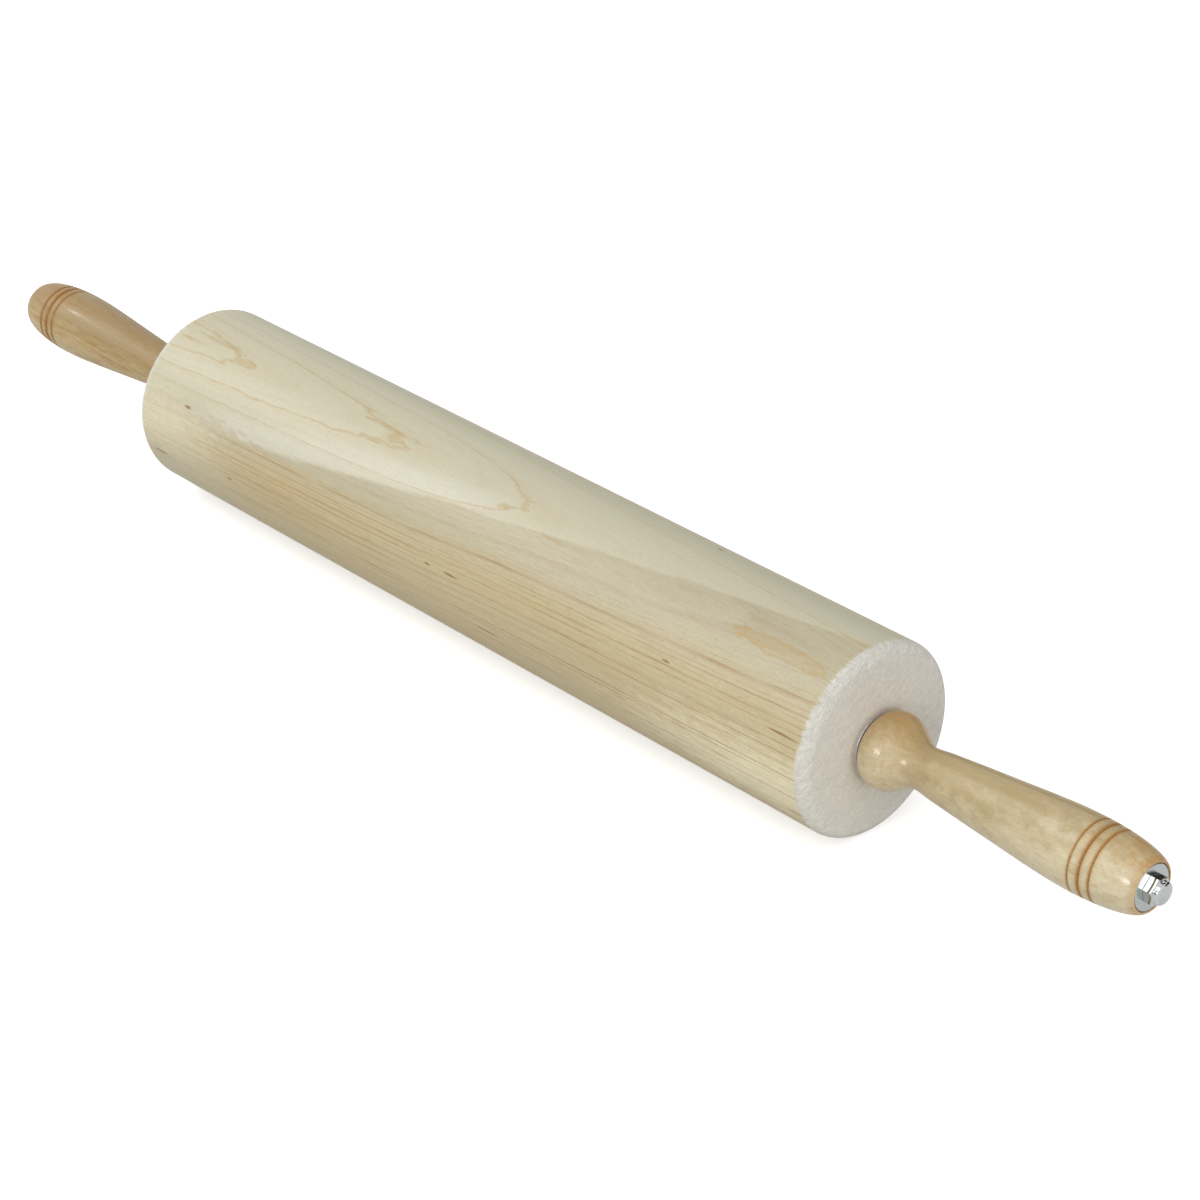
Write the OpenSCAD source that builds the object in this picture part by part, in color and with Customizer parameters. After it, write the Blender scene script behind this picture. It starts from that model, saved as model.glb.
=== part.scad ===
// Baker's rolling pin: a wooden roller that turns on two ball bearings round a steel axle,
// with a turned wooden handle clamped on each end of the axle by a cap nut.
// The axle lies along X, the origin is the middle of the roller, and +Z is up. Sizes are in millimetres.

/* [Roller] */
// Diameter of the roller
roller_d = 88.9; // [60:0.1:120]
// Length of the roller between its two flat ends
roller_l = 457.2; // [200:0.1:700]
// Radius of the rounded edge at each end of the roller
roller_edge_r = 5.5; // [1:0.5:12]
// Clearance between the roller's bore and the tube that runs through it
roller_bore_play = 1.1; // [0.5:0.1:2]

/* [Handle] */
// Length of a handle, from its inner face to its outer rim
handle_l = 143; // [100:0.5:180]
// Gap between a bearing cup's flange and a handle's inner face, so that the roller turns freely
handle_gap = 0.8; // [0.4:0.1:2]
// Clearance round the axle rod in a handle's long hole
handle_play = 0.4; // [0.2:0.1:1]
// Diameter of a handle's flat inner face
collar_base_d = 26; // [24:0.5:32]
// Diameter of the round collar next to the roller
collar_d = 34.4; // [28:0.1:44]
// Distance from the inner face to the fullest part of the collar
collar_at = 7; // [4:0.5:10]
// Diameter of the neck
neck_d = 19.3; // [16:0.1:24]
// Distance from the inner face to the neck
neck_at = 25.5; // [20:0.5:34]
// Diameter of the grip where it is fullest
grip_d = 32.9; // [26:0.1:42]
// Length of the rounded end, from the fullest part of the grip to the rim
tail_l = 32; // [26:0.5:45]
// Angle that the rounded end turns through from the fullest part to the rim
tail_turn = 77; // [60:1:85]
// Width of the wooden rim round the end washer
rim_w = 0.75; // [0.4:0.05:2.5]

/* [Turned grooves] */
// Distance from the rim to the nearest groove
groove_at = 19; // [8:0.5:26]
// Distance from one groove to the next
groove_pitch = 5.1; // [3:0.1:8]
// Width of the groove nearest the rim
outer_groove_w = 1.4; // [0.6:0.1:2.5]
// Width of the middle groove
middle_groove_w = 2; // [0.6:0.1:2.5]
// Width of the groove nearest the roller
inner_groove_w = 1.1; // [0.6:0.1:2.5]
// Depth of each groove for each millimetre of its width
groove_depth_ratio = 0.4; // [0.2:0.05:0.6]

/* [Axle] */
// Diameter of the axle rod
rod_d = 8; // [6.5:0.5:9.5]
// Diameter of the threaded ends of the axle rod
thread_d = 6.35; // [4:0.05:7]
// Clearance round the axle rod in the races, the tube and the bushes
rod_play = 0.03; // [0.02:0.01:0.1]
// Difference in diameter between the inner race and the tube or the bush that presses on it
race_step = 0.3; // [0:0.1:1]

/* [End fastening] */
// Diameter of the chrome washer in a handle's outer end
washer_d = 20.4; // [14:0.1:25]
// Thickness of the chrome washer
washer_t = 1.5; // [0.8:0.1:2.5]
// Clearance round the washer in its recess
washer_play = 0.4; // [0.1:0.05:0.6]
// Depth of the washer's face below the handle's rim
washer_sink = 0.2; // [0:0.1:1]
// Distance across the flats of the cap nut
nut_af = 11.1; // [9:0.1:14]
// Height of the cap nut's hexagon
nut_hex_h = 4.2; // [3:0.1:5]
// Height of the cap nut over its crown
nut_h = 7.3; // [7:0.1:12]
// Height of the rounded crown alone
nut_crown_h = 1.6; // [1:0.1:1.9]
// Step from the hexagon's flats in to the round cap
nut_step = 0.5; // [0.1:0.05:1]
// Thickness of the cap nut's crown over its threaded hole
nut_roof = 2; // [1.5:0.1:3]
// Turn of the cap nuts about the axle, in degrees
nut_turn = 14; // [0:1:59]
// Clearance between the axle's thread and the cap nut
thread_play = 0.05; // [0.03:0.01:0.2]
// Clearance round the thread in the washer's hole
washer_hole_play = 0.15; // [0.05:0.05:0.5]

/* [Bearing] */
// Outer diameter of the ball bearing
bearing_d = 22; // [21:0.5:28]
// Width of the ball bearing
bearing_w = 7; // [6.5:0.5:10]
// Outer diameter of the inner race's shoulders
inner_race_d = 12.1; // [11.5:0.1:13.5]
// Inner diameter of the outer race's shoulders
outer_race_d = 18.1; // [16.8:0.1:19]
// Diameter of a ball
ball_d = 3.97; // [3.3:0.01:4.5]
// Number of balls
ball_count = 7; // [5:1:8]
// Clearance between a ball and the grooves it runs in
ball_play = 0.1; // [0.08:0.01:0.2]
// Clearance round a ball in its pocket in the cage
pocket_play = 0.15; // [0.1:0.01:0.25]
// Width of the rim that the cage has on each side of its pockets
cage_rim = 0.3; // [0.2:0.05:0.5]
// Thickness of the ball cage's wall
cage_t = 1.6; // [1:0.1:1.8]
// Thickness of a bearing shield
shield_t = 0.35; // [0.2:0.05:0.5]
// Gap between a shield and the inner race
shield_gap = 0.35; // [0.3:0.05:0.6]
// Distance from the bearing's face to the shield
shield_inset = 0.35; // [0.2:0.05:0.5]

/* [Bearing cup and bush] */
// Thickness of the pressed steel cup that holds a bearing
cup_t = 1.2; // [0.8:0.1:2]
// Width of the cup's flange, which shows round the handle's collar
cup_flange_w = 1.5; // [0.5:0.1:5]
// Thickness of the cup's flange, which lies on the roller's end
cup_flange_t = 0.8; // [0.5:0.1:1.5]
// Distance from the roller's flat end in to the bearing's face
bearing_inset = 1.5; // [0.2:0.1:6]
// Clearance round the bearing in its cup and the cup in the roller
cup_play = 0.03; // [0.02:0.01:0.1]
// Diameter of the bush's flange, let into the handle's inner face
bush_flange_d = 19; // [15:0.5:23]
// Thickness of the bush's flange
bush_flange_t = 1.2; // [0.8:0.1:2]
// Thickness of the wall of the bush's shank, which is pressed into the handle
bush_shank_wall = 1.5; // [0.8:0.1:2.5]
// Length of the bush's shank
bush_shank_l = 12; // [6:0.5:18]
// Clearance round the bush in the handle
bush_play = 0.03; // [0.02:0.01:0.1]

/* [Hidden] */
$fn = 96;

// Colours, as the photograph shows them
maple = [0.85, 0.81, 0.68];
lacquered_maple = [0.80, 0.71, 0.52];
steel = [0.66, 0.67, 0.68];
bright_chrome = [0.80, 0.81, 0.82];
cage_brass = [0.72, 0.60, 0.35];

// Places along the axle, for the right-hand end. The left-hand end is their mirror image
face_x = roller_l / 2;
handle_x = face_x + cup_flange_t + handle_gap;
grip_at = handle_l - tail_l;
rim_x = handle_x + handle_l;
washer_x = rim_x - washer_sink - washer_t;
nut_x = washer_x + washer_t;
bearing_x = face_x - bearing_inset - bearing_w;
bearing_mid_x = bearing_x + bearing_w / 2;

// The wood that the washer squeezes stands a little proud of the rod's shoulder
shoulder_gap = 0.8;
// The thread ends short of the bottom of the cap nut's hole
thread_gap = 0.6;
thread_hole_h = nut_h - nut_roof;
// Cuts run this far past the faces that they open
past = 1;

// Radii that several pieces share
rod_r = rod_d / 2;
rod_hole_r = rod_r + rod_play;
thread_r = thread_d / 2;
chamfer = min(0.4, (rod_r - thread_r) / 2);
spacer_r = (inner_race_d - race_step) / 2;
roller_bore_r = spacer_r + roller_bore_play;
cup_inner_r = bearing_d / 2 + cup_play;
cup_outer_r = cup_inner_r + cup_t;
bush_flange_r = bush_flange_d / 2;
bush_shank_r = rod_hole_r + bush_shank_wall;
recess_r = washer_d / 2 + washer_play;
rim_r = recess_r + rim_w;

// Ball bearing
pitch_r = (inner_race_d + outer_race_d) / 4;
groove_r = ball_d / 2 + ball_play;
pocket_r = ball_d / 2 + pocket_play;
cage_w = 2 * (pocket_r + cage_rim);

// Cap nut
nut_flat_r = nut_af / 2;
nut_corner_r = nut_flat_r / cos(30);
nut_chamfer_h = 0.5;
nut_cap_r = nut_flat_r - nut_step;
nut_shoulder_h = nut_h - nut_crown_h;
crown_turn = 78;

// The grip's swell from neck to fullest part: share of the length, share of the growth in radius
grip_shape = [[0, 0], [0.1, 0.14], [0.25, 0.325], [0.5, 0.595], [0.75, 0.86], [0.9, 0.975], [1, 1]];
// Points on each stretch of a handle's outline, and on the roller's rounded edge
bead_steps = 9;
cove_steps = 12;
grip_steps = 16;
tail_steps = 12;
edge_steps = 10;
crown_steps = 10;

// Smooth curve through a list of [x, y] points, level at both ends and never overshooting
function rise(p, i) = (p[i + 1][1] - p[i][1]) / (p[i + 1][0] - p[i][0]);
function blend_slope(a, b) = a * b <= 0 ? 0 : 2 * a * b / (a + b);
function slope(p, i) = i == 0 || i == len(p) - 1 ? 0 : blend_slope(rise(p, i - 1), rise(p, i));
function span(p, x, i = 0) = i >= len(p) - 2 || x <= p[i + 1][0] ? i : span(p, x, i + 1);
function hermite(t, y0, m0, y1, m1) =
    y0 * (2 * pow(t, 3) - 3 * pow(t, 2) + 1) + m0 * (pow(t, 3) - 2 * pow(t, 2) + t)
    + y1 * (3 * pow(t, 2) - 2 * pow(t, 3)) + m1 * (pow(t, 3) - pow(t, 2));
function curve(p, x) =
    let (i = span(p, x), w = p[i + 1][0] - p[i][0])
    hermite((x - p[i][0]) / w, p[i][1], slope(p, i) * w, p[i + 1][1], slope(p, i + 1) * w);

// A handle's outline as [radius, distance along the axle], in four stretches
function bead_point(a) =
    [(collar_base_d + (collar_d - collar_base_d) * sin(a)) / 2, handle_x + collar_at * (1 - cos(a))];
function cove_point(t) =
    [(neck_d + (collar_d - neck_d) * (1 + cos(180 * t)) / 2) / 2,
        handle_x + collar_at + (neck_at - collar_at) * t];
function grip_point(t) =
    [(neck_d + (grip_d - neck_d) * curve(grip_shape, t)) / 2, handle_x + neck_at + (grip_at - neck_at) * t];
function tail_point(a) =
    [grip_d / 2 - (grip_d / 2 - rim_r) * (1 - cos(a)) / (1 - cos(tail_turn)),
        handle_x + grip_at + tail_l * sin(a) / sin(tail_turn)];
handle_outline = concat(
    [for (i = [0:bead_steps]) bead_point(90 * i / bead_steps)],
    [for (i = [1:cove_steps]) cove_point(i / cove_steps)],
    [for (i = [1:grip_steps]) grip_point(i / grip_steps)],
    [for (i = [1:tail_steps]) tail_point(tail_turn * i / tail_steps)]);

// Radius of the rounded end at a distance in from the rim
function tail_r(back) = tail_point(asin((tail_l - back) / tail_l * sin(tail_turn)))[0];

// Turns what is drawn along Z so that it lies along X
module on_axle() {
    rotate([0, 90, 0]) children();
}

// The mirror image of a right-hand piece
module on_left() {
    mirror([1, 0, 0]) children();
}

// A plain ring round the axle
module ring(inner_r, outer_r, from, to) {
    on_axle() rotate_extrude() translate([inner_r, from]) square([outer_r - inner_r, to - from]);
}

// Half of the roller's outline, as [radius, distance along the axle]
function edge_point(a) =
    [roller_d / 2 - roller_edge_r * (1 - cos(a)), face_x - roller_edge_r * (1 - sin(a))];

module roller() {
    half = [for (i = [0:edge_steps]) edge_point(90 * i / edge_steps)];
    other_half = [for (i = [edge_steps:-1:0]) [half[i][0], -half[i][1]]];
    seat_r = cup_outer_r + cup_play;
    seat_x = bearing_x - cup_t - cup_play;
    seat_l = face_x - seat_x + past;
    color(maple) difference() {
        on_axle() rotate_extrude() polygon(concat([[0, -face_x]], other_half, half, [[0, face_x]]));
        on_axle() translate([0, 0, -face_x - past]) cylinder(h = roller_l + 2 * past, r = roller_bore_r);
        on_axle() translate([0, 0, seat_x]) cylinder(h = seat_l, r = seat_r);
        on_left() on_axle() translate([0, 0, seat_x]) cylinder(h = seat_l, r = seat_r);
    }
}

module axle_rod() {
    shoulder_x = washer_x - shoulder_gap;
    end_x = nut_x + thread_hole_h - thread_gap;
    half = [[rod_r, shoulder_x - chamfer], [rod_r - chamfer, shoulder_x], [thread_r, shoulder_x],
        [thread_r, end_x - chamfer], [thread_r - chamfer, end_x]];
    other_half = [for (i = [len(half) - 1:-1:0]) [half[i][0], -half[i][1]]];
    color(steel) on_axle() rotate_extrude() polygon(concat([[0, -end_x]], other_half, half, [[0, end_x]]));
}

module distance_tube() {
    color(steel) ring(rod_hole_r, spacer_r, -bearing_x, bearing_x);
}

// A narrow V, cut into the outline at a distance in from the rim
module groove(back, width) {
    r = tail_r(back);
    depth = width * groove_depth_ratio;
    half_w = width / 2 * (depth + past) / depth;
    x = rim_x - back;
    polygon([[r - depth, x], [r + past, x - half_w], [r + past, x + half_w]]);
}

module handle() {
    hole_r = rod_r + handle_play;
    shank_end_l = bush_flange_t + bush_shank_l + bush_play;
    color(lacquered_maple) on_axle() rotate_extrude() difference() {
        polygon(concat([[hole_r, handle_x]], handle_outline, [[hole_r, rim_x]]));
        groove(groove_at, outer_groove_w);
        groove(groove_at + groove_pitch, middle_groove_w);
        groove(groove_at + 2 * groove_pitch, inner_groove_w);
        translate([0, washer_x]) square([recess_r, rim_x - washer_x + past]);
        translate([0, handle_x - past]) square([bush_flange_r + bush_play, bush_flange_t + past]);
        translate([0, handle_x - past]) square([bush_shank_r + bush_play, shank_end_l + past]);
    }
}

module right_handle() {
    handle();
}

module left_handle() {
    on_left() handle();
}

module end_washer() {
    hole_r = thread_r + washer_hole_play;
    r = washer_d / 2;
    soft = washer_t / 4;
    color(bright_chrome) on_axle() rotate_extrude() polygon([[hole_r, washer_x], [r, washer_x],
        [r, nut_x - soft], [r - soft, nut_x], [hole_r, nut_x]]);
}

module right_end_washer() {
    end_washer();
}

module left_end_washer() {
    on_left() end_washer();
}

// Half of the cap nut's crown, as [radius, height]
function crown_point(a) = [nut_cap_r * cos(a), nut_shoulder_h + nut_crown_h * sin(a) / sin(crown_turn)];

// Hexagon with chamfered corners, a round cap with a low crown on it and a blind threaded hole
module cap_nut() {
    chamfer_base_h = nut_hex_h - nut_chamfer_h;
    color(bright_chrome) on_axle() translate([0, 0, nut_x]) rotate([0, 0, nut_turn]) difference() {
        union() {
            intersection() {
                cylinder(h = nut_hex_h, r = nut_corner_r, $fn = 6);
                rotate_extrude() polygon([[0, 0], [nut_corner_r, 0], [nut_corner_r, chamfer_base_h],
                    [nut_flat_r, nut_hex_h], [0, nut_hex_h]]);
            }
            rotate_extrude() polygon(concat([[0, chamfer_base_h], [nut_cap_r, chamfer_base_h]],
                [for (i = [0:crown_steps]) crown_point(crown_turn * i / crown_steps)], [[0, nut_h]]));
        }
        translate([0, 0, -past]) cylinder(h = thread_hole_h + past, r = thread_r + thread_play);
    }
}

module right_cap_nut() {
    cap_nut();
}

module left_cap_nut() {
    on_left() cap_nut();
}

// Flanged bush, pressed into the handle, whose nose bears on the bearing's inner race
module handle_bush() {
    nose_x = bearing_x + bearing_w;
    flange_x = handle_x + bush_flange_t;
    shank_x = flange_x + bush_shank_l;
    color(steel) on_axle() rotate_extrude() polygon([[rod_hole_r, nose_x], [spacer_r, nose_x],
        [spacer_r, handle_x], [bush_flange_r, handle_x], [bush_flange_r, flange_x],
        [bush_shank_r, flange_x], [bush_shank_r, shank_x], [rod_hole_r, shank_x]]);
}

module right_handle_bush() {
    handle_bush();
}

module left_handle_bush() {
    on_left() handle_bush();
}

// Pressed steel cup with a flange on the roller's end and a floor behind the bearing
module bearing_cup() {
    back_x = bearing_x - cup_t;
    front_x = face_x + cup_flange_t;
    flange_r = cup_outer_r + cup_flange_w;
    color(steel) on_axle() rotate_extrude() polygon([[roller_bore_r, back_x], [cup_outer_r, back_x],
        [cup_outer_r, face_x], [flange_r, face_x], [flange_r, front_x],
        [cup_inner_r, front_x], [cup_inner_r, bearing_x], [roller_bore_r, bearing_x]]);
}

module right_bearing_cup() {
    bearing_cup();
}

module left_bearing_cup() {
    on_left() bearing_cup();
}

// A bearing race: a ring with a round groove for the balls
module race(inner_r, outer_r) {
    color(steel) on_axle() rotate_extrude() difference() {
        translate([inner_r, bearing_x]) square([outer_r - inner_r, bearing_w]);
        translate([pitch_r, bearing_mid_x]) circle(r = groove_r);
    }
}

module right_outer_race() {
    race(outer_race_d / 2, bearing_d / 2);
}

module left_outer_race() {
    on_left() race(outer_race_d / 2, bearing_d / 2);
}

module right_inner_race() {
    race(rod_hole_r, inner_race_d / 2);
}

module left_inner_race() {
    on_left() race(rod_hole_r, inner_race_d / 2);
}

module bearing_balls() {
    color(bright_chrome) on_axle() for (i = [0:ball_count - 1])
        rotate([0, 0, 360 * i / ball_count]) translate([pitch_r, 0, bearing_mid_x]) sphere(d = ball_d);
}

module right_bearing_balls() {
    bearing_balls();
}

module left_bearing_balls() {
    on_left() bearing_balls();
}

// Ring with a round pocket for each ball
module ball_cage() {
    cage_x = bearing_mid_x - cage_w / 2;
    color(cage_brass) difference() {
        ring(pitch_r - cage_t / 2, pitch_r + cage_t / 2, cage_x, cage_x + cage_w);
        on_axle() for (i = [0:ball_count - 1])
            rotate([0, 0, 360 * i / ball_count]) translate([pitch_r, 0, bearing_mid_x])
                rotate([0, 90, 0]) cylinder(h = 2 * cage_t, r = pocket_r, center = true);
    }
}

module right_ball_cage() {
    ball_cage();
}

module left_ball_cage() {
    on_left() ball_cage();
}

// The two thin discs that close a bearing, held in its outer race
module bearing_shields() {
    inner_r = inner_race_d / 2 + shield_gap;
    outer_r = outer_race_d / 2 - cup_play;
    inner_x = bearing_x + shield_inset;
    outer_x = bearing_x + bearing_w - shield_inset - shield_t;
    color(steel) {
        ring(inner_r, outer_r, inner_x, inner_x + shield_t);
        ring(inner_r, outer_r, outer_x, outer_x + shield_t);
    }
}

module right_bearing_shields() {
    bearing_shields();
}

module left_bearing_shields() {
    on_left() bearing_shields();
}

roller();
axle_rod();
distance_tube();
right_handle();
left_handle();
right_end_washer();
left_end_washer();
right_cap_nut();
left_cap_nut();
right_handle_bush();
left_handle_bush();
right_bearing_cup();
left_bearing_cup();
right_outer_race();
left_outer_race();
right_inner_race();
left_inner_race();
right_bearing_balls();
left_bearing_balls();
right_ball_cage();
left_ball_cage();
right_bearing_shields();
left_bearing_shields();
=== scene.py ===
# Baker's rolling pin on a pale floor: maple roller, lacquered handles, chrome end nuts.
# Metres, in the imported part's own frame: the axle lies along X and the roller's middle is the origin.
import bpy
from math import acos, asin, cos, pi, radians, sin
from mathutils import Matrix, Vector


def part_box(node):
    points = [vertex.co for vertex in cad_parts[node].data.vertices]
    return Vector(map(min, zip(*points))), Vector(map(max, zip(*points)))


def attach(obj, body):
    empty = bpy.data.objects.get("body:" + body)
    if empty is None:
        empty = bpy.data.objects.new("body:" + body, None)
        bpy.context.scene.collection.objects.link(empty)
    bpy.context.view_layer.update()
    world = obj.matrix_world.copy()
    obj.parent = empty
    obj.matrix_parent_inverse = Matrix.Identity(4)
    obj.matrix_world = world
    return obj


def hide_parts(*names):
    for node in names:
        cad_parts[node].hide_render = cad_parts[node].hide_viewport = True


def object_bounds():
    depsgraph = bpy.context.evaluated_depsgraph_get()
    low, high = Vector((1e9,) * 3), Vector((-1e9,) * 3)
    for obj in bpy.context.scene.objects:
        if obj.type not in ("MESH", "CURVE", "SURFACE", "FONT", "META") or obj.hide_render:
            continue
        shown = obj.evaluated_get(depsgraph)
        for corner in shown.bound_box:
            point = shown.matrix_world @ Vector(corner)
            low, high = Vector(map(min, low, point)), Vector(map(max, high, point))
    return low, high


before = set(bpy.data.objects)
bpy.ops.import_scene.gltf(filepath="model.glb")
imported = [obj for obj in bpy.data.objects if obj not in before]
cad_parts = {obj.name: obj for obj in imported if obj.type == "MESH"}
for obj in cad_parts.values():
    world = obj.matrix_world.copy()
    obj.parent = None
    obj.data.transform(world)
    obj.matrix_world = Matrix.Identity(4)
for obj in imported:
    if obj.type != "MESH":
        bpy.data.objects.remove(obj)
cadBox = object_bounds()
mm = 0.001
print("frame loaded:", len(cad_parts), "nodes")


# Camera, set first because every piece is judged through it

viewFromPhoto = {
    "azimuth": 47.43,       # degrees round from the front, towards the near handle
    "elevation": 28.99,     # degrees above the floor
    "distance": 1.5258,     # from the roller's middle, along the view
    "slideRight": -0.0402,  # the roller's middle, off the picture's centre
    "slideUp": 0.0226,
    "lens": 100.36,
    "sensor": 36,
    "clip": (0.05, 50),     # the nearest and farthest that it sees
}


def placeCamera(settings):
    azimuth, elevation = radians(settings["azimuth"]), radians(settings["elevation"])
    right = Vector((cos(azimuth), sin(azimuth), 0))
    back = Vector((sin(azimuth) * cos(elevation), -cos(azimuth) * cos(elevation), sin(elevation)))
    up = back.cross(right)
    data = bpy.data.cameras.new("camera")
    data.lens, data.sensor_width = settings["lens"], settings["sensor"]
    data.clip_start, data.clip_end = settings["clip"]
    camera = bpy.data.objects.new("camera", data)
    bpy.context.scene.collection.objects.link(camera)
    place = back * settings["distance"] - right * settings["slideRight"] - up * settings["slideUp"]
    camera.matrix_world = Matrix.Translation(place) @ Matrix((right, up, back)).transposed().to_4x4()
    bpy.context.scene.camera = camera


placeCamera(viewFromPhoto)


# Shader writing: a Value wraps a socket, and a sum written with Values adds its Math nodes

class Value:
    def __init__(self, recipe, socket):
        self.recipe = recipe
        self.socket = socket

    def math(self, operation, *terms):
        return self.recipe.add("Math", {"operation": operation}, dict(enumerate(terms)))

    def __add__(self, other): return self.math("ADD", self, other)
    def __radd__(self, other): return self.math("ADD", other, self)
    def __sub__(self, other): return self.math("SUBTRACT", self, other)
    def __rsub__(self, other): return self.math("SUBTRACT", other, self)
    def __mul__(self, other): return self.math("MULTIPLY", self, other)
    def __rmul__(self, other): return self.math("MULTIPLY", other, self)
    def __truediv__(self, other): return self.math("DIVIDE", self, other)
    def __rtruediv__(self, other): return self.math("DIVIDE", other, self)
    def __pow__(self, other): return self.math("POWER", self, other)
    def __rpow__(self, other): return self.math("POWER", other, self)
    def __abs__(self): return self.math("ABSOLUTE", self)
    def least(self, other): return self.math("MINIMUM", self, other)
    def most(self, other): return self.math("MAXIMUM", self, other)
    def between(self, low, high): return self.least(high).most(low)
    def fraction(self): return self.math("FRACT", self)
    def whole(self): return self.math("FLOOR", self)
    def root(self): return self.math("SQRT", self)


class Recipe:
    def __init__(self, name, world=False):
        self.owner = (bpy.data.worlds if world else bpy.data.materials).new(name)
        self.owner.use_nodes = True
        self.tree = self.owner.node_tree
        self.tree.nodes.clear()
        self.output = "OutputWorld" if world else "OutputMaterial"

    # Any node: its settings are set first, then its sockets get values or links
    def add(self, kind, settings=None, sockets=None, out=0):
        node = self.tree.nodes.new("ShaderNode" + kind)
        for key, value in (settings or {}).items():
            if key == "bends":
                self.fillCurve(node.mapping, value)
            else:
                setattr(node, key, value)
        for key, value in (sockets or {}).items():
            if isinstance(value, Value):
                self.tree.links.new(value.socket, node.inputs[key])
            elif node.inputs[key].type == "RGBA":
                node.inputs[key].default_value = (*value, 1)
            else:
                node.inputs[key].default_value = value
        if node.outputs:
            return Value(self, node.outputs[out])

    def fillCurve(self, mapping, bends):
        line = mapping.curves[0]
        while len(line.points) < len(bends):
            line.points.new(0.5, 0.5)
        for point, place in zip(line.points, bends):
            point.location = place
        mapping.update()

    # Smooth curve through a few (place, height) pairs
    def bend(self, value, pairs):
        start, reach = pairs[0][0], pairs[-1][0] - pairs[0][0]
        heights = [height for place, height in pairs]
        low, rise = min(heights), max(heights) - min(heights)
        bends = [((place - start) / reach, (height - low) / rise) for place, height in pairs]
        share = (value - start) / reach
        return self.add("FloatCurve", {"bends": bends}, {"Factor": 1.0, "Value": share}) * rise + low

    def millimetres(self):
        place = self.add("TexCoord", out="Object")
        return self.add("VectorMath", {"operation": "SCALE"}, {0: place, "Scale": 1 / mm})

    def split(self, vector):
        return [self.add("SeparateXYZ", {}, {0: vector}, axis) for axis in "XYZ"]

    def join(self, x, y, z):
        return self.add("CombineXYZ", {}, {0: x, 1: y, 2: z})

    def vectors(self, operation, first, second, out=0):
        return self.add("VectorMath", {"operation": operation}, {0: first, 1: second}, out)

    # The same vector with one scale along the axle and another across it
    def stretch(self, vector, along, across):
        return self.vectors("MULTIPLY", vector, (along, across, across))

    # Noise about zero, from -0.5 to 0.5
    def noise(self, place, detail, roughness=0.5):
        key, size = ("W", "1D") if place.socket.type == "VALUE" else ("Vector", "3D")
        spread = {key: place, "Scale": 1.0, "Detail": detail, "Roughness": roughness}
        return self.add("TexNoise", {"noise_dimensions": size}, spread) - 0.5

    # Noise drawn out along the axle, by how often it changes in a millimetre along and across
    def grain(self, place, along, across, detail, roughness=0.5):
        return self.noise(self.stretch(place, along, across), detail, roughness)

    # A number from 0 to 1 for each whole number
    def chance(self, value):
        return self.add("TexWhiteNoise", {"noise_dimensions": "1D"}, {"W": value})

    # 0 below low, 1 above high, and a soft step between
    def step(self, value, low, high):
        smooth = {"interpolation_type": "SMOOTHSTEP"}
        return self.add("MapRange", smooth, {"Value": value, "From Min": low, "From Max": high})

    # The other way round: 1 below low, 0 above high
    def fall(self, value, low, high):
        return 1 - self.step(value, low, high)

    # A growth line: it darkens slowly between two shares of its ring, and ends sharply
    def ringLine(self, turn, low, high):
        share = turn.fraction()
        return self.step(share, low, high) * self.fall(share, high + 0.005, 1.0)

    # Short pores along the grain, one to a cell
    def pores(self, place, along, across, low, high):
        cells = {"Vector": self.stretch(place, along, across), "Scale": 1.0}
        return self.fall(self.add("TexVoronoi", {}, cells, "Distance"), low, high)

    def mix(self, factor, first, second, blend="MIX"):
        kind = {"data_type": "RGBA", "blend_type": blend}
        return self.add("Mix", kind, {0: factor, 6: first, 7: second}, 2)

    # A colour made lighter or darker by a level near 1 for each channel
    def tone(self, colour, red, green, blue):
        return self.mix(1.0, colour, self.join(red, green, blue), "MULTIPLY")

    def bump(self, height, strength, distance):
        return self.add("Bump", {}, {"Height": height, "Strength": strength, "Distance": distance})

    def show(self, shader):
        self.add(self.output, {}, {"Surface": shader})
        return self.owner

    def surface(self, **sockets):
        values = {key.replace("_", " "): value for key, value in sockets.items()}
        return self.show(self.add("BsdfPrincipled", {}, values))


# Photograph levels, 0 to 255, as the linear colours that a shader takes
def shade(red, green, blue):
    return tuple(((level / 255 + 0.055) / 1.055) ** 2.4 for level in (red, green, blue))


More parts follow.
